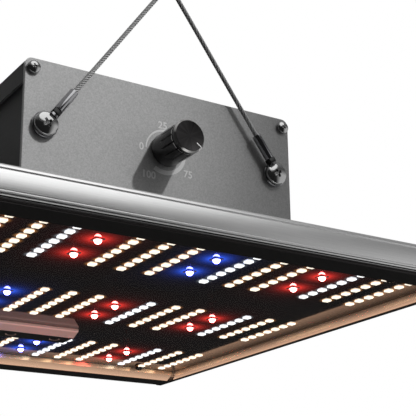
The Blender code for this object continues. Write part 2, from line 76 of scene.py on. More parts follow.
def make_camera():
    """A long lens, low in front of the lamp and to its left, looking up under the board."""
    right = Vector(CAMERA_RIGHT)
    forward = Vector(CAMERA_FORWARD).normalized()
    up = right.cross(forward).normalized()
    right = forward.cross(up)
    data = bpy.data.cameras.new("camera")
    data.sensor_width = SENSOR
    data.lens = LENS
    data.clip_start = 0.02
    data.clip_end = 50.0
    camera = bpy.data.objects.new("camera", data)
    bpy.context.scene.collection.objects.link(camera)
    turn = Matrix((right, up, -forward)).transposed().to_4x4()
    camera.matrix_world = Matrix.Translation(CAMERA_PLACE) @ turn
    bpy.context.scene.camera = camera


# ------------------------------------------------------------------ mesh helpers
def add_piece(name, mesh, body, replaces=(), place=None):
    """A visible piece that rides on a body and stands for the CAD nodes named in replaces."""
    piece = bpy.data.objects.new(name, mesh)
    bpy.context.scene.collection.objects.link(piece)
    if place:
        piece.matrix_world = place
    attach(piece, body)
    if replaces:
        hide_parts(*replaces)
    return piece


def skin(shape, rings, caps=(True, True), slots=None):
    """Faces between closed rings of points, with caps; returns the new faces."""
    loops = [[shape.verts.new(point) for point in ring] for ring in rings]
    faces = []
    for k, (a, b) in enumerate(zip(loops, loops[1:])):
        count = len(a)
        for i in range(count):
            j = (i + 1) % count
            face = shape.faces.new((a[i], a[j], b[j], b[i]))
            face.material_index = slots[k] if slots else 0
            faces.append(face)
    if caps[0]:
        faces.append(shape.faces.new(list(reversed(loops[0]))))
        faces[-1].material_index = slots[0] if slots else 0
    if caps[1]:
        faces.append(shape.faces.new(loops[-1]))
        faces[-1].material_index = slots[-1] if slots else 0
    return faces


def mesh_of(name, shape, materials, sharp=40.0):
    """A smooth-shaded mesh, with edges over sharp degrees kept sharp."""
    mesh = bpy.data.meshes.new(name)
    bmesh.ops.recalc_face_normals(shape, faces=shape.faces)
    shape.to_mesh(mesh)
    shape.free()
    for material in materials:
        mesh.materials.append(material)
    mesh.shade_smooth()
    mesh.set_sharp_from_angle(angle=math.radians(sharp))
    return mesh


def ring(radius, z, count):
    """A circle of points at a height, in metres from millimetres."""
    step = 2 * math.pi / count
    return [
        Vector((radius * math.cos(i * step), radius * math.sin(i * step), z)) * MM
        for i in range(count)
    ]


def round_box(half_x, half_y, corner, z, steps=3):
    """A rectangle with round corners at a height, in metres from millimetres."""
    points = []
    for k, (sx, sy) in enumerate(((1, 1), (-1, 1), (-1, -1), (1, -1))):
        for i in range(steps + 1):
            turn = math.radians(90 * (k + i / steps))
            x = sx * (half_x - corner) + corner * math.cos(turn)
            y = sy * (half_y - corner) + corner * math.sin(turn)
            points.append(Vector((x, y, z)) * MM)
    return points


def facing(place, axis, twist=0.0):
    """A matrix that puts local +Z along axis at a place, turned about it by twist degrees."""
    turn = Vector(axis).to_track_quat("Z", "Y").to_matrix().to_4x4()
    return Matrix.Translation(place) @ turn @ Matrix.Rotation(math.radians(twist), 4, "Z")


# ------------------------------------------------------------------ node helpers
def add_node(tree, kind, inputs=None, **settings):
    """A shader node; inputs are values or sockets by name or number."""
    node = tree.nodes.new(kind)
    for key, value in settings.items():
        setattr(node, key, value)
    for key, value in (inputs or {}).items():
        if isinstance(value, bpy.types.NodeSocket):
            tree.links.new(value, node.inputs[key])
        else:
            node.inputs[key].default_value = value
    return node


def calc(tree, operation, a, b=0.0, c=0.0):
    return add_node(tree, "ShaderNodeMath", {0: a, 1: b, 2: c}, operation=operation).outputs[0]


def axes_of(tree):
    """The x, y and z sockets of the object coordinates, in metres."""
    place = add_node(tree, "ShaderNodeTexCoord").outputs["Object"]
    return add_node(tree, "ShaderNodeSeparateXYZ", {0: place}).outputs


def place_of(tree, stretch=(1.0, 1.0, 1.0)):
    """Object coordinates, stretched along the object's own axes."""
    source = add_node(tree, "ShaderNodeTexCoord").outputs["Object"]
    return add_node(tree, "ShaderNodeMapping", {"Vector": source, "Scale": stretch}).outputs[0]


def noise(tree, vector, scale, detail=3.0, roughness=0.6):
    inputs = {"Vector": vector, "Scale": scale, "Detail": detail, "Roughness": roughness}
    return add_node(tree, "ShaderNodeTexNoise", inputs).outputs["Fac"]


def spread(tree, value, low, high_value, start=0.3, end=0.7):
    """Map a value from start to end, where most noise lies, to low to high_value."""
    inputs = {"Value": value, "From Min": start, "From Max": end, "To Min": low,
              "To Max": high_value}
    return add_node(tree, "ShaderNodeMapRange", inputs).outputs[0]


def blend_colors(tree, factor, a, b):
    """Colour a where the factor is 0 and b where it is 1; both are colours or sockets."""
    node = add_node(tree, "ShaderNodeMix", {"Factor": factor}, data_type="RGBA")
    for socket, value in ((node.inputs[6], a), (node.inputs[7], b)):
        if isinstance(value, bpy.types.NodeSocket):
            tree.links.new(value, socket)
        else:
            socket.default_value = (*value, 1.0)
    return node.outputs[2]


def surface(name, color, roughness, metallic=0.0, vary=0.12, scale=700.0, stretch=(1.0, 1.0, 1.0),
            bump=0.15, depth=0.02, rough_vary=0.2, cloudy=0.35, **constants):
    """A Principled material whose colour, roughness and relief vary by noise.

    A fine grain of this scale is mixed with a share, cloudy, of a noise 33 times coarser.
    """
    material = bpy.data.materials.new(name)
    material.use_nodes = True
    tree = material.node_tree
    shader = tree.nodes["Principled BSDF"]
    shader.inputs["Metallic"].default_value = metallic
    for key, value in constants.items():
        shader.inputs[key.replace("_", " ")].default_value = value
    grain = noise(tree, place_of(tree, stretch), scale)
    cloud = noise(tree, place_of(tree), scale * 0.03, detail=2.0)
    fine = calc(tree, "MULTIPLY", grain, 1 - cloudy)
    mixed = calc(tree, "ADD", fine, calc(tree, "MULTIPLY", cloud, cloudy))
    dark = tuple(c * (1 - vary) for c in color)
    light = tuple(min(1.0, c * (1 + vary)) for c in color)
    mottled = blend_colors(tree, spread(tree, mixed, 0.0, 1.0), dark, light)
    tree.links.new(mottled, shader.inputs["Base Color"])
    low, top = roughness * (1 - rough_vary), min(1.0, roughness * (1 + rough_vary))
    tree.links.new(spread(tree, cloud, low, top), shader.inputs["Roughness"])
    relief = add_node(tree, "ShaderNodeBump", {"Height": grain, "Strength": bump, "Distance": depth * MM})
    tree.links.new(relief.outputs[0], shader.inputs["Normal"])
    return material


def repaint(material, mask, color):
    """Mix a second base colour in where the mask is 1."""
    tree = material.node_tree
    shader = tree.nodes["Principled BSDF"]
    first = shader.inputs["Base Color"].links[0].from_socket
    tree.links.new(blend_colors(tree, mask, first, color), shader.inputs["Base Color"])


def glow(material, color, strength):
    """Give a material light of its own; color and strength may be sockets."""
    tree = material.node_tree
    shader = tree.nodes["Principled BSDF"]
    for key, value in (("Emission Color", color), ("Emission Strength", strength)):
        if isinstance(value, bpy.types.NodeSocket):
            tree.links.new(value, shader.inputs[key])
        elif key == "Emission Color":
            shader.inputs[key].default_value = (*value, 1.0)
        else:
            shader.inputs[key].default_value = value


# ------------------------------------------------------------------ materials
ALONG_X = (0.02, 1.0, 1.0)                     # stretches of the grain along drawn metal
ALONG_Y = (1.0, 0.02, 1.0)
# Painted shade: the rails' two grooves are darkened to these greys.
PAINTED_GROOVE_SHADES = ((-2.75, 0.32, 0.2), (-3.95, 0.45, 0.03))   # in the rails: height, half width, shade
# Painted shade: the rails' faces are painted black towards their foot, where they round under.
FOOT_OF_FACE = (-4.7, -4.2)                    # the rails' faces turn black between these heights
FOOT_PAINTED_SHADE = (0.04, 0.037, 0.037)
# Painted shade: faces of the rails that look down are painted nearly black.
UNDER_PAINTED_SHADE = (0.12, 0.112, 0.11)


def facing_down(tree):
    """1 where a face looks straight down, else 0."""
    normal = add_node(tree, "ShaderNodeNewGeometry").outputs["Normal"]
    z = add_node(tree, "ShaderNodeSeparateXYZ", {0: normal}).outputs[2]
    return calc(tree, "LESS_THAN", z, -0.97)


def make_rail_material(name, stretch):
    """Satin aluminium with painted shade: dark grooves, and black below them and on faces that look down."""
    material = surface(name, (0.82, 0.82, 0.82), 0.3, 1.0, vary=0.03, scale=1500.0, stretch=stretch,
                       bump=0.1, depth=0.01, rough_vary=0.03, cloudy=0.05)
    tree = material.node_tree
    z = axes_of(tree)[2]
    # painted shade in each groove
    for middle, half, shade in PAINTED_GROOVE_SHADES:
        off = calc(tree, "ABSOLUTE", calc(tree, "SUBTRACT", z, high(middle)))
        mask = spread(tree, off, 1.0, 0.0, 0.5 * half * MM, half * MM)
        repaint(material, mask, (shade, shade, shade))
    # painted shade at the foot of the rails' faces
    foot = spread(tree, z, 1.0, 0.0, high(FOOT_OF_FACE[0]), high(FOOT_OF_FACE[1]))
    repaint(material, foot, FOOT_PAINTED_SHADE)
    # painted shade on faces that look down, low on the rail
    low = spread(tree, z, 1.0, 0.0, high(0.0), high(4.0))
    repaint(material, calc(tree, "MULTIPLY", facing_down(tree), low), UNDER_PAINTED_SHADE)
    return material


SATIN_X = make_rail_material("satin_rail_x", ALONG_X)
SATIN_Y = make_rail_material("satin_rail_y", ALONG_Y)
SATIN_SHEET = surface("satin_sheet", (0.5, 0.5, 0.51), 0.42, 1.0, vary=0.06, scale=900.0,
                      rough_vary=0.03, cloudy=0.08)
PLATE = surface("grained_plate", (0.42, 0.42, 0.42), 0.4, 0.35, vary=0.18, scale=1500.0, bump=0.4,
                depth=0.03, rough_vary=0.02, cloudy=0.05)
HOUSING = surface("black_housing", (0.035, 0.035, 0.036), 0.42, 0.6, vary=0.12, scale=900.0,
                  stretch=ALONG_Y, bump=0.1, rough_vary=0.04, cloudy=0.1)
STEEL = surface("bright_steel", (0.45, 0.45, 0.45), 0.13, 1.0, vary=0.04, scale=400.0,
                bump=0.02, depth=0.01)
CAST = surface("terminal_steel", (0.34, 0.34, 0.35), 0.14, 1.0, vary=0.05, scale=900.0, bump=0.05)
ROPE_STEEL = surface("rope_steel", (0.55, 0.55, 0.55), 0.5, 0.5, vary=0.3, scale=2200.0,
                     bump=0.4, depth=0.05)
# Painted shade: a darker steel for the faces in the valleys between the strands.
ROPE_VALLEY_SHADE = surface("rope_valley_shade", (0.13, 0.13, 0.13), 0.6, 0.4, vary=0.2, scale=2200.0)
KNOB_BODY = surface("knob_body", (0.013, 0.012, 0.012), 0.28, 0.0, vary=0.15, scale=900.0, bump=0.05)
KNOB_CAP = surface("knob_cap", (0.008, 0.008, 0.008), 0.08, 0.0, vary=0.1, scale=900.0, bump=0.02)
KNOB_LINE = surface("knob_line", (0.68, 0.67, 0.66), 0.12, 1.0, vary=0.04, scale=600.0, bump=0.03)
SHOULDER = surface("blackened_steel", (0.035, 0.035, 0.035), 0.3, 0.8, vary=0.1, scale=900.0, bump=0.05)
MARK = surface("printed_mark", (0.74, 0.74, 0.74), 0.4, 0.62, vary=0.08, scale=2500.0, bump=0.1)
INDEX = surface("index_paint", (0.75, 0.75, 0.75), 0.5, 0.0, vary=0.05, scale=2500.0, bump=0.1)
BLACK_SCREW = surface("black_oxide", (0.02, 0.02, 0.02), 0.3, 0.5, vary=0.2, scale=900.0)
BLACK_PLASTIC = surface("black_plastic", (0.02, 0.02, 0.02), 0.42, 0.0, vary=0.15, scale=1400.0, bump=0.25)


# Painted light from the LEDs on the wire cover: its colour, its strength on the sides, and a brighter
# painted streak.
COVER_PAINTED_LIGHT = (1.0, 0.56, 0.49)
COVER_PAINTED_LEVEL = 0.19                             # glow of the wire cover's sides
COVER_PAINTED_STREAK = (-1.9, 0.22)                    # a brighter streak: its height and added glow


def make_cover_material():
    """Pale sheet metal, with painted light from the LEDs on its sides (a warm tint, a glow and a brighter
    streak) and painted shade underneath.
    """
    # painted light: the warm tint of the base colour stands for the LEDs' light
    material = surface("cover_grey", (0.5, 0.36, 0.32), 0.35, 0.1, vary=0.05, scale=1200.0)
    tree = material.node_tree
    # painted shade: faces that look down are made dark
    repaint(material, facing_down(tree), (0.02, 0.018, 0.018))
    # painted highlight: a brighter streak, and painted LED light on faces that don't look down
    streak_height, streak_light = COVER_PAINTED_STREAK
    off = calc(tree, "ABSOLUTE", calc(tree, "SUBTRACT", axes_of(tree)[2], high(streak_height)))
    level = calc(tree, "ADD", spread(tree, off, streak_light, 0.0, 0.1 * MM, 0.6 * MM), COVER_PAINTED_LEVEL)
    shown = calc(tree, "SUBTRACT", 1.0, facing_down(tree))
    glow(material, COVER_PAINTED_LIGHT, calc(tree, "MULTIPLY", shown, level))
    return material


def make_spun_material():
    """Black metal turned on a lathe, with painted highlights: lighter streaks run out from the middle of the
    knob's face.
    """
    material = surface("knob_face", (0.014, 0.013, 0.014), 0.3, 0.6, vary=0.0, scale=1500.0, bump=0.03)
    tree = material.node_tree
    x, y, _ = axes_of(tree)
    angle = calc(tree, "ARCTAN2", y, x)
    ray = add_node(tree, "ShaderNodeCombineXYZ",
                   {0: calc(tree, "COSINE", angle), 1: calc(tree, "SINE", angle)}).outputs[0]
    # painted highlight: lighter streaks fanning out round the knob's axis
    painted_sheen = spread(tree, noise(tree, ray, 2.6, detail=4.0), 0.0, 1.0, 0.35, 0.7)
    repaint(material, painted_sheen, (0.034, 0.032, 0.032))
    return material


COVER = make_cover_material()
KNOB_FACE = make_spun_material()
GREEN = surface("circuit_board", (0.03, 0.16, 0.07), 0.4, 0.0, vary=0.25, scale=160.0)
TAPE = surface("transformer_tape", (0.75, 0.6, 0.12), 0.5, 0.0, vary=0.1, scale=300.0)
CAN = surface("capacitor_sleeve", (0.03, 0.03, 0.06), 0.3, 0.0, vary=0.2, scale=500.0)
RUBBER = surface("rubber", (0.03, 0.03, 0.03), 0.75, 0.0, vary=0.2, scale=900.0, bump=0.3)
BRASS = surface("brass", (0.78, 0.62, 0.34), 0.22, 1.0, vary=0.08, scale=700.0)
CERAMIC = surface("led_base", (0.22, 0.17, 0.15), 0.4, 0.0, vary=0.08, scale=1500.0)

PITCH = 16.2                                   # between columns of LEDs
ROWS = (-106.0, 0.0, 106.0)                    # middles of the three rows
LED_PITCH = 8.387                              # between LEDs in a column
LEDS_IN_COLUMN = 7
COLUMNS = 9                                    # columns on each side of the middle one
COLOR_COLUMNS = (6, 2, -2, -6)                 # those of colour LEDs
DOME_OFFSET = 12.58                            # a colour LED's distance from its row's middle
# Painted light from the LEDs on the board, set by the next four values.
WHITE_HALO = 0.6                               # strength of the glow close round a white LED
HALO_REACH = (1.9, 5.4)                        # it fades between these distances
FOOT = 1.93                                    # half width of the lit patch at a white LED
BLOOMS = ((3.2, 2.6), (0.11, 8.0))             # glow at a colour LED: strength, reach


def make_board_material():
    """Gloss black lacquer, with painted light from the LEDs: a glow round each LED, in the LED's colour.

    Columns are counted from the middle: every fourth from the second one holds colour LEDs, and
    every fourth from the third one cool white LEDs.
    """
    material = surface("board_lacquer", (0.02, 0.0155, 0.0145), 0.07, 0.0, vary=0.15, scale=500.0,
                       bump=0.01, depth=0.01, rough_vary=0.1, IOR=2.2)
    tree = material.node_tree
    x, y, _ = axes_of(tree)
    column = calc(tree, "ABSOLUTE", calc(tree, "DIVIDE", x, PITCH * MM))
    near = calc(tree, "ROUND", column)
    across = calc(tree, "MULTIPLY", calc(tree, "SUBTRACT", column, near), PITCH)
    row = calc(tree, "ROUND", calc(tree, "DIVIDE", y, ROWS[2] * MM))
    along = calc(tree, "SUBTRACT", calc(tree, "DIVIDE", y, MM), calc(tree, "MULTIPLY", row, ROWS[2]))
    count = calc(tree, "ROUND", calc(tree, "DIVIDE", along, LED_PITCH))
    half = (LEDS_IN_COLUMN - 1) / 2
    count = calc(tree, "MAXIMUM", calc(tree, "MINIMUM", count, half), -half)
    off = calc(tree, "SUBTRACT", along, calc(tree, "MULTIPLY", count, LED_PITCH))
    distance = calc(tree, "SQRT", calc(tree, "ADD", calc(tree, "MULTIPLY", across, across),
                                       calc(tree, "MULTIPLY", off, off)))
    halo = calc(tree, "POWER", spread(tree, distance, 1.0, 0.0, *HALO_REACH), 3.0)
    kind = calc(tree, "MODULO", near, 4.0)
    is_color = calc(tree, "COMPARE", kind, 2.0, 0.1)
    is_cool = calc(tree, "COMPARE", kind, 3.0, 0.1)
    inside = calc(tree, "LESS_THAN", near, COLUMNS + 0.5)
    shown = calc(tree, "MULTIPLY", calc(tree, "SUBTRACT", 1.0, is_color), inside)
    tint = blend_colors(tree, is_cool, (1.0, 0.42, 0.12), (0.4, 0.45, 0.5))
    square = calc(tree, "LESS_THAN", calc(tree, "MAXIMUM", calc(tree, "ABSOLUTE", across),
                                          calc(tree, "ABSOLUTE", off)), FOOT)
    lit = calc(tree, "MAXIMUM", calc(tree, "MULTIPLY", halo, WHITE_HALO), square)
    white = calc(tree, "MULTIPLY", lit, shown)
    phase = calc(tree, "MODULO", calc(tree, "ADD", column, 2.0), 4.0)
    beside = calc(tree, "ABSOLUTE", calc(tree, "SUBTRACT", phase, 2.0))
    beside = calc(tree, "MULTIPLY", calc(tree, "SUBTRACT", 2.0, beside), PITCH)
    side = calc(tree, "SUBTRACT", calc(tree, "ABSOLUTE", along), DOME_OFFSET)
    reach = calc(tree, "SQRT", calc(tree, "ADD", calc(tree, "MULTIPLY", beside, beside),
                                    calc(tree, "MULTIPLY", side, side)))
    color = 0.0
    for strength, length in BLOOMS:
        fall = calc(tree, "POWER", math.e, calc(tree, "MULTIPLY", reach, -1 / length))
        color = calc(tree, "ADD", calc(tree, "MULTIPLY", fall, strength), color)
    color = calc(tree, "MULTIPLY", color, calc(tree, "LESS_THAN", column, COLOR_COLUMNS[0] + 2.0))
    swap = calc(tree, "SUBTRACT", calc(tree, "MULTIPLY", calc(tree, "ABSOLUTE", row), 2.0), 1.0)
    same_side = calc(tree, "COMPARE", calc(tree, "SIGN", x), swap, 0.1)
    is_blue = calc(tree, "MULTIPLY", same_side, calc(tree, "LESS_THAN", column, 4.0))
    hue = blend_colors(tree, is_blue, (1.0, 0.04, 0.03), (0.03, 0.12, 1.0))
    whole = calc(tree, "ADD", white, color)
    share = calc(tree, "DIVIDE", color, calc(tree, "MAXIMUM", whole, 0.00001))
    # painted light from the LEDs on the board
    glow(material, blend_colors(tree, share, tint, hue), whole)
    return material


def make_reflector_material(name, color, low, top):
    """Polished sheet with painted light from the LEDs: its glow is brightest at its lower edge; faces that
    look down get painted shade.
    """
    material = surface(name, color, 0.26, 1.0, vary=0.05, scale=500.0, bump=0.03)
    tree = material.node_tree
    # painted light from the LEDs, stronger towards the lower edge
    level = spread(tree, axes_of(tree)[2], low, top, high(-5.6), high(-1.0))
    shown = calc(tree, "SUBTRACT", 1.0, facing_down(tree))
    glow(material, (1.0, 0.6, 0.4), calc(tree, "MULTIPLY", level, shown))
    # painted shade on faces that look down
    repaint(material, facing_down(tree), (0.1, 0.05, 0.03))
    return material


def led_material(name, color, light, strength):
    """A lit plastic: its own colour, and the colour and strength of its light."""
    material = surface(name, color, 0.35, 0.0, vary=0.04, scale=900.0)
    glow(material, light, strength)
    return material


BOARD = make_board_material()
# Then the strength of their glow at the lower and the upper edge
REFLECTOR = make_reflector_material("polished_reflector", (0.88, 0.66, 0.44), 0.62, 0.1)
# painted shade: the front reflector is a much darker copy, with no glow
SHADED_FRONT_REFLECTOR = make_reflector_material("shaded_reflector", (0.14, 0.085, 0.05), 0.0, 0.0)
WARM_FACE = led_material("warm_phosphor", (0.95, 0.85, 0.6), (0.96, 0.87, 0.75), 1.0)
WARM_SIDE = led_material("warm_side", (0.95, 0.85, 0.7), (1.0, 0.88, 0.72), 1.6)
COOL_FACE = led_material("cool_phosphor", (0.95, 0.95, 0.85), (0.97, 0.98, 1.0), 1.0)
COOL_SIDE = led_material("cool_side", (0.95, 0.95, 0.95), (0.92, 0.96, 1.0), 1.6)
RED_DOME = led_material("red_dome", (0.9, 0.2, 0.2), (1.0, 0.15, 0.14), 26.0)
BLUE_DOME = led_material("blue_dome", (0.2, 0.25, 0.9), (0.14, 0.15, 1.0), 26.0)


# ------------------------------------------------------------------ wire ropes
# Half of a bridle's route, from a ferrule to the top of the eye, as in the CAD: x, z
FOLD_Z = 66.8
HALF_ROUTE = [
    (50.4, FOLD_Z), (33.8, 90.0), (16.1, 115.0), (5.4, 130.0), (2.7, 134.0), (1.6, 136.5),
    (1.38, 139.2), (1.38, 143.5), (1.38, 148.0), (1.85, 151.0), (3.7, 155.2), (6.0, 159.6),
    (7.0, 163.6), (6.3, 167.4), (3.9, 170.2), (0.0, 171.2),
]
ROPE = 2.4
IN_FERRULE = 2.6                               # length of rope that runs into a ferrule's mouth
STRANDS = 6
AROUND_STRAND = 6                              # faces round each strand
LAY = 9.0                                      # length of one turn of the strands
ROPE_STEP = 0.9                                # between the rope's rings
BEND = (-1.2, 5.0)                             # two heights over FOLD_Z; the rope is not bent between them


def smooth(points, per_span):
    """Catmull-Rom curve through 2D points."""
    def between(p, q, r, s, t):
        bend = (2 * p - 5 * q + 4 * r - s) * t * t + (3 * q - p - 3 * r + s) * t ** 3
        return 0.5 * (2 * q + (r - p) * t + bend)

    out = []
    ends = [points[0]] + list(points) + [points[-1]]
    for four in zip(ends, ends[1:], ends[2:], ends[3:]):
        for i in range(per_span):
            out.append(tuple(between(*values, i / per_span) for values in zip(*four)))
    return out + [points[-1]]


def even(points, step):
    """Points spaced evenly along a polyline."""
    lengths = [0.0]
    for a, b in zip(points, points[1:]):
        lengths.append(lengths[-1] + math.dist(a, b))
    count = round(lengths[-1] / step)
    out = []
    k = 0
    for i in range(count + 1):
        target = lengths[-1] * i / count
        while k < len(points) - 2 and lengths[k + 1] < target:
            k += 1
        t = (target - lengths[k]) / (lengths[k + 1] - lengths[k])
        out.append(tuple(p + (q - p) * t for p, q in zip(points[k], points[k + 1])))
    return out


def strand_radius(angle):
    """Distance from the rope's middle to its surface, which is six round strands."""
    strand = ROPE / 6                          # a strand's radius
    orbit = ROPE / 2 - strand
    turn = (angle + math.pi / STRANDS) % (2 * math.pi / STRANDS) - math.pi / STRANDS
    inner = strand ** 2 - (orbit * math.sin(turn)) ** 2
    return orbit * math.cos(turn) + math.sqrt(max(0.0, inner))


def make_rope(end, y):
    """The stranded rope of a bridle, in place of the CAD rope."""
    (x0, z0), (x1, z1) = HALF_ROUTE[:2]
    back = IN_FERRULE / math.dist((x0, z0), (x1, z1))
    start = (x0 - (x1 - x0) * back, z0 - (z1 - z0) * back)
    half = [start] + HALF_ROUTE[1:]
    route = even(smooth(half + [(-x, z) for x, z in reversed(half[:-1])], 16), ROPE_STEP)
    path = [Vector((x * MM, y, high(z))) for x, z in route]
    rings = []
    around = STRANDS * AROUND_STRAND
    travelled = 0.0
    for i, point in enumerate(path):
        ahead = path[min(i + 1, len(path) - 1)] - path[max(i - 1, 0)]
        side = Vector((0, 1, 0))
        other = ahead.normalized().cross(side)
        twist = 2 * math.pi * travelled / (LAY * MM)
        points = []
        for k in range(around):
            angle = 2 * math.pi * k / around
            radius = strand_radius(angle) * MM
            turn = angle + twist
            points.append(point + (side * math.cos(turn) + other * math.sin(turn)) * radius)
        rings.append(points)
        if i + 1 < len(path):
            travelled += (path[i + 1] - point).length
    shape = bmesh.new()
    faces = skin(shape, rings)
    # painted shade: faces in the valleys between strands get the darker steel
    for i, face in enumerate(faces[:-2]):
        face.material_index = 1 if i % AROUND_STRAND in (2, 3) else 0
    mesh = mesh_of(f"rope_{end}", shape, [ROPE_STEEL, ROPE_VALLEY_SHADE], sharp=80.0)
    rope = bpy.data.objects.new(f"rope_{end}", mesh)
    bpy.context.scene.collection.objects.link(rope)
    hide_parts(f"bridle_rope_{end}")
    start, end = (high(FOLD_Z + z) for z in BEND)
    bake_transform(rope)


CRIMP = (4.1, 2.6, 2.4)                        # half width, half depth and corner
CRIMP_BORE = (2.85, 1.5, 1.4)
PRESSED = 0.22                                 # depth of the marks pressed into it


def make_crimp(end, y):
    """An oval sleeve, pressed at three places."""
    low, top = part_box(f"crimp_sleeve_{end}")
    length = (top.z - low.z) / MM
    shape = bmesh.new()
    outer = []
    steps = 24
    for i in range(steps + 1):
        t = i / steps
        press = PRESSED * max(0.0, math.sin(math.pi * (3 * t * 2 - 0.5))) ** 2
        edge = 0.3 * max(0.0, 1 - min(t, 1 - t) * length / 0.4)
        outer.append(round_box(*(size - press - edge for size in CRIMP), t * length, 5))
    inner = [round_box(*CRIMP_BORE, z, 5) for z in (length, 0.0)]
    skin(shape, outer + inner + outer[:1], caps=(False, False))
    bmesh.ops.remove_doubles(shape, verts=shape.verts, dist=1e-7)
    mesh = mesh_of(f"crimp_{end}", shape, [STEEL])
    mesh.transform(Matrix.Translation((0, y, low.z)))
    return add_piece(f"crimp_{end}", mesh, f"bridle_{end}", [f"crimp_sleeve_{end}"])


# ------------------------------------------------------------------ screws and terminals
# Of each kind of screw: the head's radius, height and rim, then the shank's radius and length
CORNER_SCREW = (3.2, 2.2, 1.1, 1.5, 9.0)
HANGING_SCREW = (5.9, 2.5, 1.0, 2.5, 13.0)
BOARD_SCREW = (3.0, 2.2, 0.5, 1.5, 7.6)
NEXT_TWIST = 37                                # degrees between one screw's cross and the next


def cross_cutter(size, depth):
    """A tapering plus-shaped solid, standing on the origin and pointing down."""
    shape = bmesh.new()
    rings = []
    for z, scale in ((0.6, 1.12), (-depth, 0.5)):
        reach, half = size * scale, size * 0.3 * scale
        outline = []
        for k in range(4):
            turn = Matrix.Rotation(math.radians(90 * k), 3, "Z")
            for x, y in ((half, half), (half, reach), (-half, reach)):
                outline.append(turn @ Vector((x, y, z)) * MM)
        rings.append(outline)
    skin(shape, rings)
    return bpy.data.objects.new("cutter", mesh_of("cutter", shape, []))


def cut(name, mesh, cutter):
    """The mesh with the cutter's shape taken out of it."""
    base = bpy.data.objects.new(name, mesh)
    for obj in (base, cutter):
        bpy.context.scene.collection.objects.link(obj)
    step = base.modifiers.new("recess", "BOOLEAN")
    step.operation = "DIFFERENCE"
    step.solver = "EXACT"
    step.object = cutter
    bpy.context.view_layer.update()
    made = bpy.data.meshes.new_from_object(base.evaluated_get(bpy.context.evaluated_depsgraph_get()))
    for obj in (base, cutter):
        bpy.data.objects.remove(obj, do_unlink=True)
    made.name = name
    made.shade_smooth()
    made.set_sharp_from_angle(angle=math.radians(32))
    return made


def screw_mesh(name, radius, height, rim, shank, length, material):
    """A pan-head screw with a cross recess, its head's underside at the origin."""
    profile = [(shank, -length), (shank, 0.0), (radius - 0.15, 0.0), (radius, 0.15), (radius, rim)]
    for i in range(1, 13):
        turn = math.radians(90 * i / 13)
        profile.append((radius * math.cos(turn), rim + (height - rim) * math.sin(turn)))
    profile.append((radius * 0.03, height))
    shape = bmesh.new()
    skin(shape, [ring(r, z, 48) for r, z in profile])
    mesh = mesh_of(name, shape, [material])
    cutter = cross_cutter(radius * 0.45, height * 0.5)
    cutter.location.z = height * MM
    return cut(name, mesh, cutter)


def seat_screws(mesh, head, names, axis, twist):
    """A copy of the screw for each CAD screw named; its head ends where the CAD one does.

    head is the height of the screw's head.
    """
    outward = Vector(axis)
    for k, name in enumerate(names):
        low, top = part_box(name)
        middle = (low + top) / 2
        half = abs((top - low).dot(outward)) / 2
        copy = mesh.copy()
        copy.transform(facing(middle + outward * (half - head * MM), outward, twist + NEXT_TWIST * k))
        add_piece(name + "_detail", copy, "lamp", [name])


def make_screws():
    """The chrome screws of both end plates and the board's black screws."""
    corner = screw_mesh("plate_screw", *CORNER_SCREW, STEEL)
    hanging = screw_mesh("hang_screw", *HANGING_SCREW, STEEL)
    board = screw_mesh("board_screw", *BOARD_SCREW, BLACK_SCREW)
    for end, way in (("front", -1), ("rear", 1)):
        names = [f"plate_screw_{end}_{i}" for i in range(1, 5)]
        seat_screws(corner, CORNER_SCREW[1], names, (0, way, 0), 20)
        for side in ("left", "right"):
            seat_screws(hanging, HANGING_SCREW[1], [f"hang_screw_{end}_{side}"], (0, way, 0), 33)
    names = [f"board_screw_{i}" for i in range(1, 5)]
    seat_screws(board, BOARD_SCREW[1], names, (0, 0, -1), 12)


HANG_SCREW = (63.9, 47.8)                      # a hanging screw's x and z
ROPE_OUT = 4.0                                 # from the end plate to the ropes' plane
ROPE_LEAN = 35.4                               # a leg's angle from upright, in degrees
GAP = 0.3                                      # from the end plate to a terminal
EYE = 1.6                                      # thickness of a terminal's eye
EYE_RING = ((6.1, 0), (6.4, 0.3), (6.4, EYE - 0.3), (6.1, EYE), (3.1, EYE), (3.0, 0.2), (6.1, 0))
# Sections along a terminal: half width, half depth, corner, and place from the shoulder's start
SHOULDER_SHAPE = ((1.9, 1.4, 0.5, 0.0), (2.15, 1.8, 0.5, 0.3), (2.15, 1.9, 0.6, 2.4), (1.9, 1.7, 0.6, 2.7))
NECK_SHAPE = ((1.7, 1.35, 0.4, 0.0), (1.7, 1.35, 0.4, 1.6))
SHOULDER_START, NECK_START = 5.7, 4.4          # from the hanging screw's axis
# Radius and distance from the hanging screw's axis, round the ferrule's outside and into its mouth
FERRULE = (
    (1.9, 8.4), (2.18, 8.6), (2.25, 8.9), (2.25, 21.5), (2.18, 21.9), (2.0, 22.0), (1.42, 22.0),
    (1.35, 19.5),
)


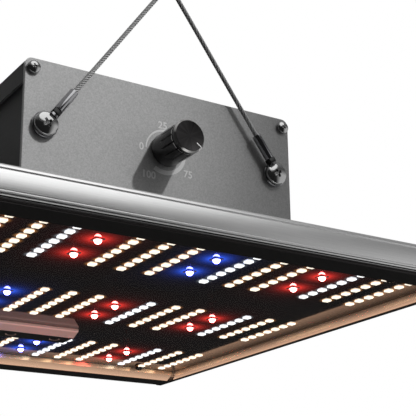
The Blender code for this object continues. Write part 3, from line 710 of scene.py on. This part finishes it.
def make_terminal(end, side_name, side, way):
    """A swaged terminal: eye under the screw's head, shoulder, and a ferrule that grips the rope."""
    shape = bmesh.new()
    skin(shape, [ring(radius, z, 40) for radius, z in EYE_RING], caps=(False, False))
    bmesh.ops.remove_doubles(shape, verts=shape.verts, dist=1e-7)
    lift = ROPE_OUT - GAP

    def along(points, y0):
        """Turn outlines drawn across Z so that they run along local Y from y0."""
        return [Vector((p.x, p.z + y0 * MM, lift * MM + p.y)) for p in points]

    skin(shape, [along(round_box(*size), SHOULDER_START) for size in SHOULDER_SHAPE], slots=[1] * 4)
    skin(shape, [along(round_box(*size), NECK_START) for size in NECK_SHAPE])
    skin(shape, [along(ring(r, 0.0, 28), y) for r, y in FERRULE])
    mesh = mesh_of(f"terminal_{end}_{side_name}", shape, [CAST, SHOULDER])
    x, z = HANG_SCREW
    seat = Vector((side * x * MM, PLATE_Y - GAP * MM, high(z)))
    if way > 0:
        seat.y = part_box("end_plate_rear")[1].y + GAP * MM
    outward = Vector((0, way, 0))
    leg = Vector((-side * math.sin(math.radians(ROPE_LEAN)), 0, math.cos(math.radians(ROPE_LEAN))))
    across = leg.cross(outward)
    turn = Matrix((across, leg, outward)).transposed().to_4x4()
    mesh.transform(Matrix.Translation(seat) @ turn)
    name = f"rope_terminal_{end}_{side_name}"
    add_piece(f"terminal_{end}_{side_name}", mesh, "lamp", [name])


def make_bridles():
    """Both ropes, each with its sleeve and its two terminals."""
    for end, way in (("front", -1), ("rear", 1)):
        low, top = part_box(f"bridle_rope_{end}")
        y = (low.y + top.y) / 2
        crimp = make_crimp(end, y)
        for side_name, side in (("left", -1), ("right", 1)):
            make_terminal(end, side_name, side, way)
        make_rope(end, y)


# ------------------------------------------------------------------ dimmer knob and scale
KNOB_Z = 48.0
INDEX_ANGLE = -37.5                            # degrees, where the knob points at rest
FLUTES = 14
FLUTE_DEPTH = 0.6
PER_FLUTE = 9                                  # points of the outline from one flute to the next
INDEX_HALF = 0.22                              # half width of the index line
INDEX_DEEP = 0.12


def polar(radius, degrees, y):
    """A point on the front end plate round the knob's axis, y metres deep."""
    turn = math.radians(degrees)
    return Vector((radius * MM * math.cos(turn), y, high(KNOB_Z) + radius * MM * math.sin(turn)))


def make_knob():
    """Fluted skirt, dark groove, bright cut chamfer and a spun face."""
    low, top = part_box("dimmer_knob")
    face = (top.y - low.y) / MM
    radius = (top.x - low.x) / MM / 2
    around = FLUTES * PER_FLUTE

    def outline(base, flute, z):
        """A circle with narrow grooves of the given depth."""
        points = []
        for i in range(around):
            out = base - (flute if i % PER_FLUTE == 0 else 0.0)
            turn = 2 * math.pi * i / around
            points.append(Vector((out * math.cos(turn), out * math.sin(turn), z)) * MM)
        return points

    # Radius, flute depth, height over the plate, material of the faces up to the next level
    levels = [
        (4.0, 0.0, 7.0, 0), (4.0, 0.0, 0.4, 0), (6.0, 0.0, 0.0, 0), (radius - 0.2, 0.0, 0.0, 0),
        (radius, 0.0, 0.3, 0), (radius, 0.0, 8.0, 0), (radius, FLUTE_DEPTH, 10.0, 0),
        (radius, FLUTE_DEPTH, face - 3.4, 3), (radius - 0.1, 0.0, face - 3.1, 0),
        (radius - 0.6, 0.0, face - 3.0, 0), (radius - 0.6, 0.0, face - 2.5, 1),
        (radius - 0.05, 0.0, face - 2.4, 1), (radius, 0.0, face - 0.95, 3),
        (radius - 0.75, 0.0, face - 0.05, 2), (radius - 0.9, 0.0, face, 2),
        (radius - 1.1, 0.0, face - 0.06, 2), (1.2, 0.0, face - 0.06, 2), (0.1, 0.0, face - 0.06, 2),
    ]
    shape = bmesh.new()
    rings = [outline(r, flute, z) for r, flute, z, _ in levels]
    skin(shape, rings, slots=[slot for _, _, _, slot in levels])
    mesh = mesh_of("knob", shape, [KNOB_BODY, KNOB_CAP, KNOB_FACE, KNOB_LINE], sharp=28.0)
    stand = Matrix.Translation((0, top.y, high(KNOB_Z))) @ Matrix.Rotation(math.radians(90), 4, "X")
    add_piece("knob", mesh, "dimmer", ["dimmer_knob"], place=stand)

    shape = bmesh.new()
    track = [(radius - 3.6, face - 0.02), (radius - 0.95, face + 0.05), (radius - 0.7, face - 0.03),
             (radius + 0.04, face - 0.95), (radius + 0.02, face - 1.8)]
    rows = []
    for r, z in track:
        section = ((r, INDEX_HALF, z), (r, -INDEX_HALF, z),
                   (r - INDEX_DEEP, -INDEX_HALF, z - INDEX_DEEP),
                   (r - INDEX_DEEP, INDEX_HALF, z - INDEX_DEEP))
        rows.append([Vector(point) * MM for point in section])
    skin(shape, rows)
    line = mesh_of("knob_index", shape, [INDEX])
    line.transform(stand @ Matrix.Rotation(math.radians(INDEX_ANGLE), 4, "Z"))
    add_piece("knob_index", line, "dimmer")


INK = 0.03 * MM
SCALE_SPAN = (180.0, -122.0)                   # degrees at its start and end
SCALE_INNER, SCALE_OUTER = (10.2, 9.8), (10.8, 12.3)  # radii at its start and end
SCALE_STEPS = 96
NUMBERS = (("0", 13.1, 180.0), ("25", 13.2, 96.0), ("50", 14.6, 30.0), ("75", 16.1, -37.0),
           ("100", 16.4, -123.5))              # each with its radius and angle
NUMBER_SIZE = 5.2


def make_scale():
    """The printed ring and its numbers, a thin layer of ink on the end plate."""
    front = PLATE_Y - INK
    shape = bmesh.new()
    rings = []
    for i in range(SCALE_STEPS + 1):
        angle, low, edge = (pair[0] + (pair[1] - pair[0]) * i / SCALE_STEPS
                            for pair in (SCALE_SPAN, SCALE_INNER, SCALE_OUTER))
        rings.append([polar(low, angle, front), polar(edge, angle, front),
                      polar(edge, angle, PLATE_Y), polar(low, angle, PLATE_Y)])
    skin(shape, rings)
    add_piece("dial_ring", mesh_of("dial_ring", shape, [MARK]), "lamp")
    for label, radius, angle in NUMBERS:
        text = bpy.data.curves.new("number_" + label, "FONT")
        text.body = label
        text.size = NUMBER_SIZE * MM
        text.align_x = "CENTER"
        text.align_y = "CENTER"
        text.extrude = INK / 2
        text.resolution_u = 4
        text.offset = 0.1 * MM
        source = bpy.data.objects.new("number_" + label, text)
        bpy.context.scene.collection.objects.link(source)
        bpy.context.view_layer.update()
        shown = source.evaluated_get(bpy.context.evaluated_depsgraph_get())
        mesh = bpy.data.meshes.new_from_object(shown)
        bpy.data.objects.remove(source, do_unlink=True)
        mesh.materials.clear()
        mesh.materials.append(MARK)
        stand = Matrix.Rotation(math.radians(90), 4, "X")
        mesh.transform(Matrix.Translation(polar(radius, angle, PLATE_Y - INK / 2)) @ stand)
        add_piece("number_" + label, mesh, "lamp")


# ------------------------------------------------------------------ LEDs
PACKAGE = (3.8, 3.75, 0.72)                    # width, depth and height of a white LED
DOME = 1.9                                     # radius of a colour LED's dome
DOME_BASE = (5.4, 0.5)                         # width and height of its base
DOME_STEPS = 8
# Colours in each row, for the colour columns from right to left
ROW_COLORS = ("RBRR", "RRBR", "RBRR")


def put(shape, rings, x, y, slots, caps=(False, True)):
    """Add rings drawn at the origin and growing along +Z, so that they hang under the board."""
    foot = Vector((x * MM, y * MM, BOARD_Z))
    skin(shape, [[foot + Vector((p.x, -p.y, -p.z)) for p in loop] for loop in rings], caps=caps, slots=slots)


def make_white_leds():
    """Columns of warm and of cool white packages, as two pieces."""
    width, depth, height = PACKAGE
    rings = [
        round_box(width / 2, depth / 2, 0.3, 0.0, 2),
        round_box(width / 2, depth / 2, 0.3, height - 0.2, 2),
        round_box(width / 2 - 0.18, depth / 2 - 0.18, 0.3, height, 2),
        round_box(width / 2 - 0.45, depth / 2 - 0.45, 0.5, height - 0.08, 2),
    ]
    half = (LEDS_IN_COLUMN - 1) / 2
    for name, cool, materials in (("leds_warm", False, [WARM_SIDE, WARM_FACE]),
                                  ("leds_cool", True, [COOL_SIDE, COOL_FACE])):
        shape = bmesh.new()
        for column in range(-COLUMNS, COLUMNS + 1):
            kind = abs(column) % 4
            if kind == 2 or (kind == 3) != cool:
                continue
            for row in ROWS:
                for i in range(LEDS_IN_COLUMN):
                    put(shape, rings, column * PITCH, row + (i - half) * LED_PITCH, [0, 0, 1, 1])
        add_piece(name, mesh_of(name, shape, materials), "lamp")


def make_color_leds():
    """Pairs of domed red and blue LEDs on square bases, as two pieces."""
    width, height = DOME_BASE
    base = [
        round_box(width / 2, width / 2, 0.2, 0.0, 1),
        round_box(width / 2, width / 2, 0.2, height - 0.1, 1),
        round_box(width / 2 - 0.1, width / 2 - 0.1, 0.2, height, 1),
    ]
    dome = []
    for i in range(DOME_STEPS):
        turn = math.pi / 2 * i / DOME_STEPS
        dome.append(ring(DOME * math.cos(turn), height + DOME * math.sin(turn), 24))
    dome.append(ring(DOME * 0.06, height + DOME, 24))
    for name, letter, material in (("red", "R", RED_DOME), ("blue", "B", BLUE_DOME)):
        shape = bmesh.new()
        for row, colors in zip(ROWS, ROW_COLORS):
            for column, color in zip(COLOR_COLUMNS, colors):
                if color != letter:
                    continue
                for side in (-1, 1):
                    x, y = column * PITCH, row + side * DOME_OFFSET
                    put(shape, base, x, y, [0, 0, 0])
                    put(shape, dome, x, y, [1] * len(dome))
        mesh = mesh_of("leds_" + name, shape, [CERAMIC, material])
        add_piece("leds_" + name, mesh, "lamp")


# ------------------------------------------------------------------ finishes of the CAD nodes
FINISHES = {
    SATIN_X: ["rail_front", "rail_rear"],
    SATIN_Y: ["side_rail_left", "side_rail_right"],
    SATIN_SHEET: ["heat_spreader", "top_cover", "mounting_bar_front", "mounting_bar_rear"],
    PLATE: ["end_plate_front", "end_plate_rear"],
    HOUSING: ["driver_housing"],
    SHADED_FRONT_REFLECTOR: ["reflector_front"],
    REFLECTOR: ["reflector_rear", "reflector_left", "reflector_right"],
    STEEL: ["dimmer_nut", "dimmer_potentiometer", "dimmer_shaft"],
    BOARD: ["led_board"],
    BLACK_PLASTIC: ["board_connector", "power_inlet"],
    BLACK_SCREW: ["cover_screw_1", "cover_screw_2", "cover_screw_3"],
    COVER: ["wire_cover"],
    GREEN: ["driver_board"],
    TAPE: ["transformer"],
    CAN: ["capacitor_1", "capacitor_2"],
    RUBBER: ["wire_grommet"],
    BRASS: ["inlet_pin_1", "inlet_pin_2", "inlet_pin_3"],
}


def finish_nodes():
    for finish, names in FINISHES.items():
        for name in names:
            NODES[name].data.materials.clear()
            NODES[name].data.materials.append(finish)


# ------------------------------------------------------------------ floor, light and world
FLOOR_Z = -1.5
LIT_POINT = Vector((0.0, -0.1, BOARD_Z + 0.04))   # the area lights aim here
KEY_POINT = Vector((-0.085, PLATE_Y, high(25.0)))  # and the key light here


def make_floor():
    """A plain pale disc below the lamp."""
    paint = surface("floor_paint", (0.85, 0.85, 0.84), 0.7, vary=0.02, scale=60.0)
    glow(paint, (1.0, 1.0, 1.0), 0.4)
    shape = bmesh.new()
    bmesh.ops.create_circle(shape, cap_ends=True, radius=0.8, segments=96)
    mesh = mesh_of("floor", shape, [paint])
    floor = bpy.data.objects.new("floor", mesh)
    bpy.context.scene.collection.objects.link(floor)
    floor.location.z = FLOOR_Z


def aim(light, point, direction, distance):
    """Put a light at a distance from a point, in a direction, and turn it to shine there."""
    away = Vector(direction).normalized()
    light.location = point + away * distance
    light.rotation_euler = away.to_track_quat("Z", "Y").to_euler()
    light.visible_camera = False


def add_light(name, direction, distance, size, power):
    """A round area light that shines from a direction onto the lamp."""
    data = bpy.data.lights.new(name, "AREA")
    data.shape = "DISK"
    data.size = size
    data.energy = power
    light = bpy.data.objects.new(name, data)
    bpy.context.scene.collection.objects.link(light)
    aim(light, LIT_POINT, direction, distance)
    return light


def make_world():
    """White where the camera sees it, and for everything else a dim room.

    The room has a soft ceiling, and a bright panel on the lamp's right, mostly below its height.
    """
    world = bpy.data.worlds.new("studio")
    bpy.context.scene.world = world
    world.use_nodes = True
    tree = world.node_tree
    tree.nodes.clear()
    out = add_node(tree, "ShaderNodeOutputWorld")
    sky = add_node(tree, "ShaderNodeTexCoord").outputs["Generated"]
    x, y, z = add_node(tree, "ShaderNodeSeparateXYZ", {0: sky}).outputs
    overhead = spread(tree, z, 0.0, 0.42, 0.4, 0.95)
    right = spread(tree, x, 0.0, 0.7, 0.46, 0.68)
    panel = calc(tree, "MULTIPLY", right, spread(tree, z, 1.0, 0.0, 0.3, 0.5))
    panel = calc(tree, "MULTIPLY", panel, spread(tree, y, 1.0, 0.0, 0.15, 0.5))
    level = calc(tree, "ADD", calc(tree, "ADD", overhead, panel), 0.02)
    room = add_node(tree, "ShaderNodeBackground", {"Color": (1, 1, 1, 1), "Strength": level})
    white = add_node(tree, "ShaderNodeBackground", {"Color": (1, 1, 1, 1), "Strength": 1.0})
    seen = add_node(tree, "ShaderNodeLightPath").outputs["Is Camera Ray"]
    mix = add_node(tree, "ShaderNodeMixShader", {0: seen, 1: room.outputs[0], 2: white.outputs[0]})
    tree.links.new(mix.outputs[0], out.inputs[0])


def make_key():
    """A small soft-edged spotlight that falls off to the right."""
    data = bpy.data.lights.new("key", "SPOT")
    data.energy = 90.0
    data.spot_size = math.radians(11.6)
    data.spot_blend = 1.0
    data.shadow_soft_size = 0.03
    light = bpy.data.objects.new("key", data)
    bpy.context.scene.collection.objects.link(light)
    aim(light, KEY_POINT, (0.49, -1.0, 0.86), 1.5)
    light.visible_glossy = False


def make_lights():
    """The key light, and area lights that show only as gloss or only as soft light."""
    make_key()
    window = add_light("window", (0.3, -1.0, 1.08), 1.5, 1.2, 4.6)
    window.visible_diffuse = False
    top = add_light("top", (0.0, 0.3, 1.0), 1.3, 2.5, 6.0)
    top.visible_glossy = False
    add_light("back", (0.1, 1.0, 0.5), 1.6, 0.8, 5.0)
    left = add_light("left", (-1.0, 0.3, 0.2), 1.6, 0.8, 0.8)
    left.visible_glossy = False


# ------------------------------------------------------------------ the scene, camera and cords first
make_camera()
make_bridles()
make_screws()
make_knob()
make_scale()
make_white_leds()
make_color_leds()
finish_nodes()
make_floor()
make_lights()
make_world()
bpy.context.scene.view_settings.view_transform = "Standard"
